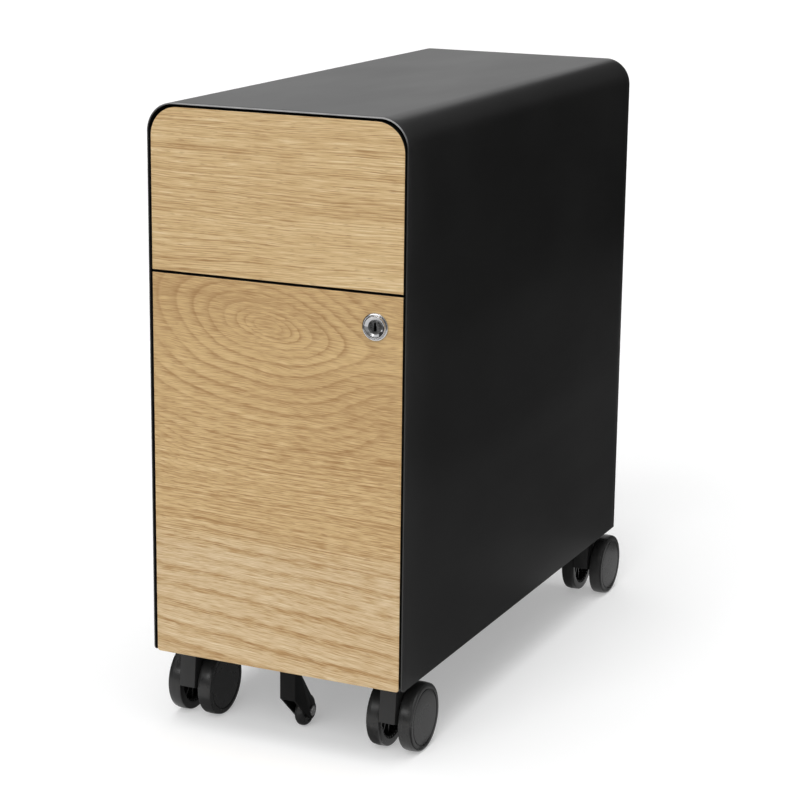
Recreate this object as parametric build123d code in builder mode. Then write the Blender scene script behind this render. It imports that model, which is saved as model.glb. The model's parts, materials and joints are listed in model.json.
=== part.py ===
from build123d import *
import os

os.makedirs("parts", exist_ok=True)

# A slim mobile filing cabinet: a folded steel case, a box drawer above a file drawer, both with
# oak fronts and ball slides, four twin-wheel casters and an anti-tip wheel under the file drawer.
# Millimetres. The origin is on the floor under the middle of the cabinet, +X right, -Y front.

# Case
case_width = 260.0
case_depth = 574.0
case_height = 524.0
case_sheet = 1.2
case_corner_radius = 27.0
case_foot_radius = 5.0
case_rim_break = 0.3

# Back panel, a pan with its flange turned forward
back_sheet = 1.0
back_recess = 2.0
back_flange = 14.0
panel_fit = 0.2

# Base pan, with its flanges turned down
base_sheet = 1.5
base_flange = 8.0
base_front_gap = 1.5

# Uprights that carry the slides
upright_depth = 8.0
upright_width = 40.0
upright_sheet = 1.5
upright_end_gap = 10.0
upright_top_gap = 6.0

# Divider rail behind the gap between the fronts, open downwards for the lock's cam
rail_height = 16.0
rail_depth = 22.0
rail_sheet = 1.2
rail_rise = 6.0
rail_front_gap = 2.5

# Oak fronts
front_thickness = 16.0
front_side_gap = 2.3
front_top_gap = 2.6
front_split_gap = 2.5
upper_front_height = 149.95
front_corner_radius = 27.0
front_foot_radius = 3.0
front_edge_radius = 0.6

# Drawer boxes: five sheet panels welded at their edges, the walls hemmed inwards along the top
box_sheet = 1.0
box_hem = 10.0
box_seam = 0.1
box_floor_gap = 8.5
box_rail_gap = 8.0
box_rear_room = 38.0
upper_box_headroom = 35.0
lower_box_headroom = 92.0

# Screws that hold the fronts and the anti-tip fork
screw_radius = 2.0
screw_head_radius = 4.0
screw_head_height = 2.2
screw_length = 12.0
screw_fit = 0.1
front_screw_inset = 34.0
front_screw_rise = 24.0

# Ball slides: three C-sections, one inside the other, with a cage of balls in each gap
slide_thickness = 12.7
slide_height = 45.5
slide_sheet = 1.2
slide_front_gap = 4.0
slide_rear_room = 54.0
outer_lip_gap = 2.3
middle_lip_gap = 1.5
cage_gap = 0.6
cage_sheet = 0.6
cage_flange = 0.8
cage_length = 200.0
cage_end = 8.0
ball_radius = 1.6
ball_fit = 0.1
ball_bevel = 0.6
balls_in_row = 2

# Rails across the file drawer, a folder's hook-to-hook length apart
file_rail_spacing = 318.0
file_rail_height = 14.0
file_rail_sheet = 2.0
file_rail_foot = 16.0
file_rail_setback = 60.0

# Cam lock
lock_side_inset = 30.0
lock_drop = 30.0
lock_bezel_radius = 12.5
lock_rim = 1.2
lock_bevel = 2.1
lock_crest = 1.1
lock_proud = 3.0
lock_body_radius = 9.5
lock_tail = 10.0
lock_nut_width = 24.0
lock_nut_height = 5.0
plug_radius = 6.6
plug_neck_radius = 5.4
plug_head = 8.0
plug_recess = 1.8
plug_fit = 0.05
plug_tang = 6.5
key_width = 2.0
key_height = 8.4
key_ward = 1.1
key_depth = 17.0
cam_catch = 8.0
cam_hub_radius = 7.5
cam_width = 11.0
cam_sheet = 2.0
cam_gap = 0.2
cam_screw_radius = 1.8
cam_screw_length = 8.0

# Twin-wheel casters on threaded stems
caster_side_inset = 24.0
caster_trail = 25.0
wheel_radius = 33.0
wheel_width = 13.8
wheel_gap = 19.0
wheel_shoulder = 3.0
wheel_groove = 1.0
wheel_round = 3.0
wheel_inner_break = 1.0
wheel_rim = 7.5
wheel_web = 4.0
wheel_hub_radius = 8.0
wheel_rib = 1.6
wheel_rib_set = 2.0
wheel_ribs = 10
axle_radius = 3.0
axle_fit = 0.05
axle_cover = 3.0
fork_side_gap = 1.4
fork_boss_radius = 9.0
fork_nose_proud = 3.0
fork_nose_rake = 3.5
fork_foot_rise = 2.5
fork_back = 13.0
crown_radius = 15.0
crown_height = 6.0
crown_bevel = 2.0
crown_wheel_gap = 2.5
swivel_gap = 0.5
collar_width = 19.0
collar_side_gap = 2.0
crown_case_gap = 1.5
stem_radius = 5.0
stem_fit = 0.2
stem_end = 0.5
stem_nut_width = 16.0
stem_nut_height = 6.0
kingpin_length = 32.0
kingpin_fit = 0.05

# Anti-tip wheel, hung from the floor of the file drawer just clear of the ground
tip_setback = 25.0
tip_axle_back = 36.7
tip_lift = 0.8
tip_wheel_radius = 15.4
tip_wheel_width = 10.0
tip_wheel_round = 4.0
tip_wheel_gap = 1.0
tip_fork_sheet = 2.0
tip_leg_depth = 14.0
tip_leg_rise = 21.0
tip_web_rise = 22.8
tip_boss_radius = 8.0
tip_plate_width = 46.0
tip_plate_depth = 36.0
tip_plate_screw_inset = 8.0
tip_axle_radius = 2.5
tip_head_radius = 5.0
tip_head_height = 1.6
tip_head_bevel = 0.7
tip_notch_gap = 5.0

# Every cut runs this far past the face that it opens
overrun = 1.0

# Places front to back, from the case's front edge
base_front_inset = front_thickness + base_front_gap
caster_end_inset = base_front_inset + base_sheet + collar_side_gap + collar_width / 2
rear_overhang = caster_trail + wheel_radius - caster_end_inset
front_y = lock_proud - (lock_proud + case_depth + rear_overhang) / 2
rear_y = front_y + case_depth
box_front_y = front_y + front_thickness
box_rear_y = rear_y - box_rear_room
slide_front_y = box_front_y + slide_front_gap
slide_rear_y = rear_y - slide_rear_room
slide_middle_y = (slide_front_y + slide_rear_y) / 2
base_front_y = front_y + base_front_inset
base_rear_y = rear_y - back_recess

# Places side to side, each the distance from the middle
wall_x = case_width / 2 - case_sheet
runner_x = wall_x - upright_depth
box_x = runner_x - slide_thickness
front_x = wall_x - front_side_gap
lock_x = case_width / 2 - lock_side_inset
caster_x = case_width / 2 - caster_side_inset

# Places up from the floor: the casters carry the base pan, and the case hangs its edge below it
axle_z = wheel_radius
crown_bottom_z = 2 * wheel_radius + crown_wheel_gap
crown_top_z = crown_bottom_z + crown_height
collar_bottom_z = crown_top_z + swivel_gap
collar_height = base_flange + crown_case_gap - swivel_gap
base_bottom_z = collar_bottom_z + collar_height
base_top_z = base_bottom_z + base_sheet
case_bottom_z = base_bottom_z - base_flange
case_top_z = case_bottom_z + case_height
front_top_z = case_top_z - case_sheet - front_top_gap
split_z = front_top_z - upper_front_height - front_split_gap / 2
lock_z = split_z - lock_drop
rail_top_z = split_z + rail_rise
rail_bottom_z = rail_top_z - rail_height
box_bottoms = {"upper": rail_top_z + box_rail_gap, "lower": base_top_z + box_floor_gap}
box_tops = {"upper": front_top_z - upper_box_headroom, "lower": split_z - lower_box_headroom}
slide_zs = {name: (box_bottoms[name] + box_tops[name]) / 2 for name in box_tops}
drawers = tuple(box_tops)
sides = {"left": -1, "right": 1}

# Ball slides in section: heights from the slide's middle, depths inwards from the upright
outer_lip = slide_thickness - outer_lip_gap
middle_lip = slide_thickness - middle_lip_gap
race_gap = 2 * (ball_radius + ball_fit)
outer_half = slide_height / 2
middle_half = outer_half - slide_sheet - race_gap
inner_half = middle_half - slide_sheet - race_gap
outer_ball_half = middle_half + race_gap / 2
inner_ball_half = inner_half + race_gap / 2
outer_cage_depth = slide_sheet + cage_gap
middle_depth = outer_cage_depth + cage_sheet + cage_gap
inner_cage_depth = middle_depth + slide_sheet + cage_gap
inner_lip = inner_cage_depth + cage_sheet + cage_gap
outer_ball_depth = (middle_depth + outer_lip) / 2
inner_ball_depth = (inner_lip + middle_lip) / 2
cage_overlap = ball_radius + cage_gap

# Lock, from the front's face backwards
lock_back_y = box_front_y + lock_tail
plug_face_y = front_y - lock_proud + plug_recess
plug_step_y = plug_face_y + plug_head
cam_front_y = lock_back_y + cam_gap
cam_back_y = cam_front_y + cam_sheet
cam_reach = rail_bottom_z - lock_z + cam_catch
lock_crest_outer_radius = lock_bezel_radius - lock_bevel
lock_crest_inner_radius = lock_crest_outer_radius - lock_crest
lock_axis = Axis((lock_x, front_y, lock_z), (0, 1, 0))
cam_screw_head_radius = plug_tang / 2 + overrun

# Casters and anti-tip wheel
casters = {
    "front_left": (-caster_x, front_y + caster_end_inset),
    "front_right": (caster_x, front_y + caster_end_inset),
    "rear_left": (-caster_x, rear_y - caster_end_inset),
    "rear_right": (caster_x, rear_y - caster_end_inset),
}
fork_width = wheel_gap - 2 * fork_side_gap
fork_nose = wheel_radius + fork_nose_proud - caster_trail
wheel_cap_radius = wheel_radius - wheel_round - wheel_shoulder
tip_fork_width = tip_wheel_width + 2 * (tip_wheel_gap + tip_fork_sheet)
tip_web_y = front_y + tip_setback
tip_axle_y = tip_web_y + tip_axle_back
tip_axle_z = tip_lift + tip_wheel_radius
tip_web_bottom_z = tip_axle_z + tip_web_rise
tip_plate_top_z = box_bottoms["lower"]
tip_plate_bottom_z = tip_plate_top_z - tip_fork_sheet
tip_screw_x = tip_plate_width / 2 - tip_plate_screw_inset
tip_screw_places = [
    (side * tip_screw_x, tip_web_y + y)
    for side in sides.values()
    for y in (tip_plate_screw_inset, tip_plate_depth - tip_plate_screw_inset)
]


def facing_front(y):
    """The upright plane at y, seen from the front: extrusions come forwards."""
    return Plane.XZ.offset(-y)


def facing_right(x):
    """The upright plane at x, seen from the right: extrusions go to the right."""
    return Plane.YZ.offset(x)


def span(x0, y0, x1, y1, mode=Mode.ADD):
    """A rectangle of the sketch between two opposite corners."""
    with Locations(((x0 + x1) / 2, (y0 + y1) / 2)):
        Rectangle(abs(x1 - x0), abs(y1 - y0), mode=mode)


def arch(half_width, bottom, top, radius, mode=Mode.ADD):
    """A face with square feet and two rounded shoulders."""
    with BuildLine() as outline:
        left = Line((-half_width, bottom), (-half_width, top - radius))
        over = RadiusArc(left @ 1, (radius - half_width, top), radius)
        top_line = Line(over @ 1, (half_width - radius, top))
        down = RadiusArc(top_line @ 1, (half_width, top - radius), radius)
        right = Line(down @ 1, (half_width, bottom))
        Line(right @ 1, left @ 0)
    make_face(outline.edges(), mode=mode)


def c_section(side, z, web, lip, half_height, flange):
    """A slide's C in section: a web between two depths and flanges out to the lip."""
    near, far = [side * (runner_x - depth) for depth in web]
    span(near, z - half_height, far, z + half_height)
    for low in (-half_height, half_height - flange):
        span(near, z + low, side * (runner_x - lip), z + low + flange)


def write(builder, name):
    """Labels a finished piece and keeps it as one STEP file."""
    builder.part.label = name
    export_step(builder.part, f"parts/{name}.step")


# Case shell: one sheet folded over the top, with the front foot of each side wall rounded
with BuildPart() as case_shell:
    with BuildSketch(facing_front(rear_y)):
        arch(case_width / 2, case_bottom_z, case_top_z, case_corner_radius)
        arch(
            wall_x,
            case_bottom_z,
            case_top_z - case_sheet,
            case_corner_radius - case_sheet,
            mode=Mode.SUBTRACT,
        )
    extrude(amount=case_depth)
    front_feet = case_shell.edges().filter_by(Axis.X).group_by(Axis.Z)[0].group_by(Axis.Y)[0]
    fillet(front_feet, case_foot_radius)
    rims = [case_shell.faces().sort_by(Axis.Y)[end] for end in (0, -1)]
    chamfer([edge for rim in rims for edge in rim.edges() if edge.length > case_sheet], case_rim_break)
write(case_shell, "case_shell")

# Back panel, standing on the base pan just inside the case's rear edge
back_x = wall_x - panel_fit
back_top_z = case_top_z - case_sheet - panel_fit
back_radius = case_corner_radius - case_sheet - panel_fit
back_bottom_z = base_top_z + panel_fit
with BuildPart() as back_panel:
    with BuildSketch(facing_front(base_rear_y)):
        arch(back_x, back_bottom_z, back_top_z, back_radius)
    extrude(amount=back_sheet + back_flange)
    with BuildSketch(facing_front(base_rear_y - back_sheet)):
        arch(
            back_x - back_sheet,
            back_bottom_z - overrun,
            back_top_z - back_sheet,
            back_radius - back_sheet,
        )
    extrude(amount=back_flange + overrun, mode=Mode.SUBTRACT)
write(back_panel, "back_panel")

# Base pan: flanges down on all sides, holes for the caster stems, a notch for the anti-tip fork
base_x = wall_x - panel_fit
notch_x = tip_fork_width / 2 + tip_notch_gap
with BuildPart() as base_pan:
    with BuildSketch(Plane.XY.offset(case_bottom_z)):
        span(-base_x, base_front_y, base_x, base_rear_y)
    extrude(amount=base_flange + base_sheet)
    with BuildSketch(Plane.XY.offset(case_bottom_z - overrun)):
        span(
            base_sheet - base_x,
            base_front_y + base_sheet,
            base_x - base_sheet,
            base_rear_y - base_sheet,
        )
    extrude(amount=base_flange + overrun, mode=Mode.SUBTRACT)
    with BuildSketch(Plane.XY.offset(case_bottom_z - overrun)):
        span(-notch_x, base_front_y - overrun, notch_x, tip_axle_y)
    extrude(amount=base_flange + base_sheet + 2 * overrun, mode=Mode.SUBTRACT)
    with Locations(*[(x, y, base_top_z) for x, y in casters.values()]):
        Hole(stem_radius + stem_fit)
write(base_pan, "base_pan")

# Uprights: channels with their backs to the drawers, welded to the side walls
upright_top_z = case_top_z - case_corner_radius - upright_top_gap
upright_fronts = {
    "front": box_front_y + upright_end_gap,
    "rear": slide_rear_y - upright_end_gap - upright_width,
}
for end, y in upright_fronts.items():
    for side_name, side in sides.items():
        with BuildPart() as upright:
            with BuildSketch(Plane.XY.offset(base_top_z)):
                span(side * runner_x, y, side * wall_x, y + upright_width)
                span(
                    side * (runner_x + upright_sheet),
                    y + upright_sheet,
                    side * (wall_x + overrun),
                    y + upright_width - upright_sheet,
                    mode=Mode.SUBTRACT,
                )
            extrude(amount=upright_top_z - base_top_z)
        write(upright, f"{end}_{side_name}_upright")

# Divider rail between the front uprights
rail_front_y = box_front_y + rail_front_gap
with BuildPart() as divider_rail:
    with BuildSketch(facing_right(-runner_x)):
        span(rail_front_y, rail_bottom_z, rail_front_y + rail_depth, rail_top_z)
        span(
            rail_front_y + rail_sheet,
            rail_bottom_z - overrun,
            rail_front_y + rail_depth - rail_sheet,
            rail_top_z - rail_sheet,
            mode=Mode.SUBTRACT,
        )
    extrude(amount=2 * runner_x)
write(divider_rail, "divider_rail")

# Slide members, one of each on either side of each drawer
member_webs = {
    "outer": ((0, slide_sheet), outer_lip, outer_half),
    "middle": ((middle_depth, middle_depth + slide_sheet), middle_lip, middle_half),
    "inner": ((slide_thickness, slide_thickness - slide_sheet), inner_lip, inner_half),
}
for drawer in drawers:
    for side_name, side in sides.items():
        for member_name, (web, lip, half_height) in member_webs.items():
            with BuildPart() as member:
                with BuildSketch(facing_front(slide_rear_y)):
                    c_section(side, slide_zs[drawer], web, lip, half_height, slide_sheet)
                extrude(amount=slide_rear_y - slide_front_y)
            write(member, f"{drawer}_{side_name}_slide_{member_name}")

# Ball of the slides, with its poles flattened
with BuildPart() as ball:
    Cylinder(ball_radius, 2 * ball_radius)
    chamfer(ball.edges().filter_by(GeomType.CIRCLE), ball_bevel)

# Ball cages: C-shaped strips with a row of pockets along each flange
cage_webs = {
    "outer": (outer_cage_depth, outer_ball_depth, outer_ball_half),
    "inner": (inner_cage_depth, inner_ball_depth, inner_ball_half),
}
cage_rear_y = slide_middle_y + cage_length / 2
ball_pitch = (cage_length - 2 * cage_end) / (balls_in_row - 1)
for drawer in drawers:
    for stage, (depth, ball_depth, ball_half) in cage_webs.items():
        z = slide_zs[drawer]
        web = (depth, depth + cage_sheet)
        lip = ball_depth + cage_overlap
        ball_places = [
            (side * (runner_x - ball_depth), cage_rear_y - cage_end - ball_pitch * i, z + v)
            for side in sides.values()
            for i in range(balls_in_row)
            for v in (-ball_half, ball_half)
        ]
        with BuildPart() as cages:
            for side in sides.values():
                with BuildSketch(facing_front(cage_rear_y)):
                    c_section(side, z, web, lip, ball_half + cage_flange / 2, cage_flange)
                extrude(amount=cage_length)
            with Locations(*ball_places):
                Cylinder(ball_radius + ball_fit, cage_flange + race_gap, mode=Mode.SUBTRACT)
            with Locations(*ball_places):
                add(ball.part)
        write(cages, f"{drawer}_{stage}_ball_cages")


# Drawer fronts, each held by four screws from inside its box
front_bottoms = {"upper": split_z + front_split_gap / 2, "lower": case_bottom_z}
front_tops = {"upper": front_top_z, "lower": split_z - front_split_gap / 2}
front_screw_places = {
    drawer: [
        (side * (box_x - front_screw_inset), z)
        for side in sides.values()
        for z in (box_bottoms[drawer] + front_screw_rise, box_tops[drawer] - front_screw_rise)
    ]
    for drawer in drawers
}
screw_seat_y = box_front_y + box_sheet
for drawer in drawers:
    with BuildPart() as front:
        with BuildSketch(facing_front(box_front_y)) as outline:
            span(-front_x, front_bottoms[drawer], front_x, front_tops[drawer])
            if drawer == "upper":
                fillet(outline.vertices().group_by(Axis.Y)[-1], front_corner_radius)
            else:
                fillet(outline.vertices().group_by(Axis.Y)[0], front_foot_radius)
        extrude(amount=front_thickness)
        fillet(front.faces().sort_by(Axis.Y)[0].edges(), front_edge_radius)
        with BuildSketch(facing_front(box_front_y)):
            with Locations(*front_screw_places[drawer]):
                Circle(screw_radius + screw_fit)
        extrude(amount=screw_length - box_sheet + screw_fit, mode=Mode.SUBTRACT)
        if drawer == "lower":
            with BuildSketch(facing_front(box_front_y)):
                with Locations((lock_x, lock_z)):
                    Circle(lock_body_radius + screw_fit)
            extrude(amount=front_thickness, mode=Mode.SUBTRACT)
    write(front, f"{drawer}_front")

    with BuildPart() as screws:
        with BuildSketch(facing_front(screw_seat_y)):
            with Locations(*front_screw_places[drawer]):
                Circle(screw_radius)
        extrude(amount=screw_length)
        with BuildSketch(facing_front(screw_seat_y + screw_head_height)):
            with Locations(*front_screw_places[drawer]):
                Circle(screw_head_radius)
        extrude(amount=screw_head_height)
    write(screws, f"{drawer}_front_screws")

# Drawer boxes: a floor between four walls, each wall with its top edge folded inwards into a hem
inner_x = box_x - box_sheet
panel_x = inner_x - box_seam
end_walls = ((box_front_y, 1), (box_rear_y, -1))
for drawer in drawers:
    bottom_z, top_z = box_bottoms[drawer], box_tops[drawer]
    with BuildPart() as box:
        with BuildSketch(Plane.XY.offset(bottom_z)):
            floor_inset = box_sheet + box_seam
            span(-panel_x, box_front_y + floor_inset, panel_x, box_rear_y - floor_inset)
        extrude(amount=box_sheet)
        with BuildSketch(Plane.XY.offset(bottom_z)):
            for side in sides.values():
                span(side * box_x, box_front_y, side * inner_x, box_rear_y)
            for y, inwards in end_walls:
                span(-panel_x, y, panel_x, y + inwards * box_sheet)
        extrude(amount=top_z - bottom_z)
        with BuildSketch(Plane.XY.offset(top_z - box_hem)):
            hem_inset = 2 * box_sheet + box_seam
            for side in sides.values():
                span(
                    side * inner_x,
                    box_front_y + hem_inset,
                    side * (inner_x - box_sheet),
                    box_rear_y - hem_inset,
                )
            for y, inwards in end_walls:
                span(-panel_x, y + inwards * box_sheet, panel_x, y + 2 * inwards * box_sheet)
        extrude(amount=box_hem)
        with BuildSketch(facing_front(screw_seat_y)):
            with Locations(*front_screw_places[drawer]):
                Circle(screw_radius + screw_fit)
        extrude(amount=box_sheet + overrun, mode=Mode.SUBTRACT)
        if drawer == "lower":
            with BuildSketch(Plane.XY.offset(bottom_z - overrun)):
                with Locations(*tip_screw_places):
                    Circle(screw_radius + screw_fit)
            extrude(amount=box_sheet + overrun, mode=Mode.SUBTRACT)
    write(box, f"{drawer}_drawer_box")

# File rails: strips on edge across the lower box, their feet against the hems
rail_x = box_x - 2 * box_sheet
rail_low_z = box_tops["lower"] - file_rail_height
first_rail_y = box_front_y + file_rail_setback
for rail_name, y in (("front", first_rail_y), ("rear", first_rail_y + file_rail_spacing)):
    with BuildPart() as file_rail:
        with BuildSketch(Plane.XY.offset(rail_low_z)):
            span(-rail_x, y, rail_x, y + file_rail_sheet)
            for side in sides.values():
                span(side * rail_x, y, side * (rail_x - file_rail_sheet), y + file_rail_foot)
        extrude(amount=file_rail_height)
    write(file_rail, f"{rail_name}_file_rail")

# Lock housing, turned: a stepped bezel on the face and a body through the front
with BuildPart() as lock_housing:
    with BuildSketch(Plane((0, 0, lock_z))):
        with BuildLine():
            Polyline(
                *[
                    (lock_x + r, y)
                    for r, y in (
                        (lock_bezel_radius, front_y),
                        (lock_bezel_radius, front_y - lock_rim),
                        (lock_crest_outer_radius, front_y - lock_proud),
                        (lock_crest_inner_radius, front_y - lock_proud),
                        (plug_radius + plug_fit, plug_face_y - plug_fit),
                        (plug_radius + plug_fit, plug_step_y + plug_fit),
                        (plug_neck_radius + plug_fit, plug_step_y + plug_fit),
                        (plug_neck_radius + plug_fit, lock_back_y),
                        (lock_body_radius, lock_back_y),
                        (lock_body_radius, front_y),
                    )
                ],
                close=True,
            )
        make_face()
    revolve(axis=lock_axis)
write(lock_housing, "lock_housing")

# Lock nut, drawn up against the back of the front
with BuildPart() as lock_nut:
    with BuildSketch(facing_front(box_front_y + lock_nut_height)):
        with Locations((lock_x, lock_z)):
            RegularPolygon(lock_nut_width / 2, 6, major_radius=False)
            Circle(lock_body_radius + screw_fit, mode=Mode.SUBTRACT)
    extrude(amount=lock_nut_height)
write(lock_nut, "lock_nut")

# Lock plug: a stepped cylinder with a warded keyway, and a square tang for the cam
with BuildPart() as lock_plug:
    with BuildSketch(Plane((0, 0, lock_z))):
        span(lock_x, plug_face_y, lock_x + plug_radius, plug_step_y)
        span(lock_x, plug_step_y, lock_x + plug_neck_radius, cam_front_y)
    revolve(axis=lock_axis)
    with BuildSketch(facing_front(cam_back_y)):
        with Locations((lock_x, lock_z)):
            Rectangle(plug_tang, plug_tang)
    extrude(amount=cam_sheet)
    with BuildSketch(facing_front(plug_face_y + key_depth)):
        with Locations((lock_x, lock_z)):
            Rectangle(key_width, key_height)
        with Locations((lock_x + key_width / 2, lock_z - key_ward)):
            Rectangle(key_ward, key_height / 2)
    extrude(amount=key_depth + overrun, mode=Mode.SUBTRACT)
    with BuildSketch(facing_front(cam_back_y)):
        with Locations((lock_x, lock_z)):
            Circle(cam_screw_radius + screw_fit)
    extrude(amount=cam_screw_length + screw_fit, mode=Mode.SUBTRACT)
write(lock_plug, "lock_plug")

# Cam, lying to the left while unlocked; a quarter turn lifts its tip behind the divider rail
with BuildPart() as lock_cam:
    with BuildSketch(facing_front(cam_back_y)):
        with Locations((lock_x, lock_z)):
            Circle(cam_hub_radius)
        span(lock_x - cam_reach, lock_z - cam_width / 2, lock_x, lock_z + cam_width / 2)
        with Locations((lock_x, lock_z)):
            Rectangle(plug_tang + 2 * plug_fit, plug_tang + 2 * plug_fit, mode=Mode.SUBTRACT)
    extrude(amount=cam_sheet)
write(lock_cam, "lock_cam")

# Cam screw
with BuildPart() as lock_cam_screw:
    with BuildSketch(facing_front(cam_back_y)):
        with Locations((lock_x, lock_z)):
            Circle(cam_screw_radius)
    extrude(amount=cam_screw_length)
    with BuildSketch(facing_front(cam_back_y + screw_head_height)):
        with Locations((lock_x, lock_z)):
            Circle(cam_screw_head_radius)
    extrude(amount=screw_head_height)
write(lock_cam_screw, "lock_cam_screw")

# Anti-tip fork: a folded bracket with a front web, two raked legs and a plate under the box
with BuildPart() as tip_fork:
    with BuildSketch(facing_right(-tip_fork_width / 2)):
        with Locations((tip_axle_y, tip_axle_z)):
            Circle(tip_boss_radius)
        span(
            tip_web_y,
            tip_web_bottom_z,
            tip_web_y + tip_leg_depth,
            tip_web_bottom_z + tip_leg_rise,
        )
        make_hull()
        span(tip_web_y, tip_web_bottom_z, tip_web_y + tip_leg_depth, tip_plate_bottom_z)
    extrude(amount=tip_fork_width)
    with BuildSketch(facing_right(tip_fork_sheet - tip_fork_width / 2)):
        span(
            tip_web_y + tip_fork_sheet,
            0,
            tip_axle_y + tip_boss_radius + overrun,
            tip_plate_bottom_z,
        )
    extrude(amount=tip_fork_width - 2 * tip_fork_sheet, mode=Mode.SUBTRACT)
    with BuildSketch(Plane.XY.offset(tip_plate_bottom_z)):
        span(
            -tip_plate_width / 2,
            tip_web_y,
            tip_plate_width / 2,
            tip_web_y + tip_plate_depth,
        )
        with Locations(*tip_screw_places):
            Circle(screw_radius + screw_fit, mode=Mode.SUBTRACT)
    extrude(amount=tip_fork_sheet)
    with BuildSketch(facing_right(-tip_fork_width)):
        with Locations((tip_axle_y, tip_axle_z)):
            Circle(tip_axle_radius + axle_fit)
    extrude(amount=2 * tip_fork_width, mode=Mode.SUBTRACT)
write(tip_fork, "anti_tip_fork")

# Anti-tip fork's screws, put in from inside the box
with BuildPart() as tip_screws:
    with BuildSketch(Plane.XY.offset(tip_plate_bottom_z)):
        with Locations(*tip_screw_places):
            Circle(screw_radius)
    extrude(amount=tip_fork_sheet + box_sheet)
    with BuildSketch(Plane.XY.offset(tip_plate_top_z + box_sheet)):
        with Locations(*tip_screw_places):
            Circle(screw_head_radius)
    extrude(amount=screw_head_height)
write(tip_screws, "anti_tip_screws")

# Anti-tip axle, a rivet headed on both sides
with BuildPart() as tip_axle:
    with BuildSketch(facing_right(-tip_fork_width / 2)):
        with Locations((tip_axle_y, tip_axle_z)):
            Circle(tip_axle_radius)
    extrude(amount=tip_fork_width)
    for side in sides.values():
        with BuildSketch(facing_right(side * tip_fork_width / 2)):
            with Locations((tip_axle_y, tip_axle_z)):
                Circle(tip_head_radius)
        extrude(amount=side * tip_head_height)
    heads = tip_axle.edges().filter_by(GeomType.CIRCLE).sort_by(Axis.X)
    chamfer([heads[0], heads[-1]], tip_head_bevel)
write(tip_axle, "anti_tip_axle")

# Anti-tip wheel, with a rounded tread
with BuildPart() as tip_wheel:
    with BuildSketch(facing_right(-tip_wheel_width / 2)):
        with Locations((tip_axle_y, tip_axle_z)):
            Circle(tip_wheel_radius)
            Circle(tip_axle_radius + axle_fit, mode=Mode.SUBTRACT)
    extrude(amount=tip_wheel_width)
    fillet(
        tip_wheel.edges()
        .filter_by(GeomType.CIRCLE)
        .group_by(SortBy.RADIUS)[-1],
        tip_wheel_round,
    )
write(tip_wheel, "anti_tip_wheel")

# Caster stems: a kingpin below, a hexagonal collar under the base pan and a thread through it
with BuildPart() as stems:
    with BuildSketch(Plane.XY.offset(collar_bottom_z - kingpin_length)):
        with Locations(*casters.values()):
            Circle(stem_radius)
    extrude(amount=kingpin_length + collar_height + base_sheet + stem_nut_height + stem_end)
    with BuildSketch(Plane.XY.offset(collar_bottom_z)):
        with Locations(*casters.values()):
            RegularPolygon(collar_width / 2, 6, major_radius=False)
    extrude(amount=collar_height)
write(stems, "caster_stems")

# Caster nuts on top of the base pan
with BuildPart() as stem_nuts:
    with BuildSketch(Plane.XY.offset(base_top_z)):
        with Locations(*casters.values()):
            RegularPolygon(stem_nut_width / 2, 6, major_radius=False)
            Circle(stem_radius + stem_fit, mode=Mode.SUBTRACT)
    extrude(amount=stem_nut_height)
write(stem_nuts, "caster_nuts")

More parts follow.
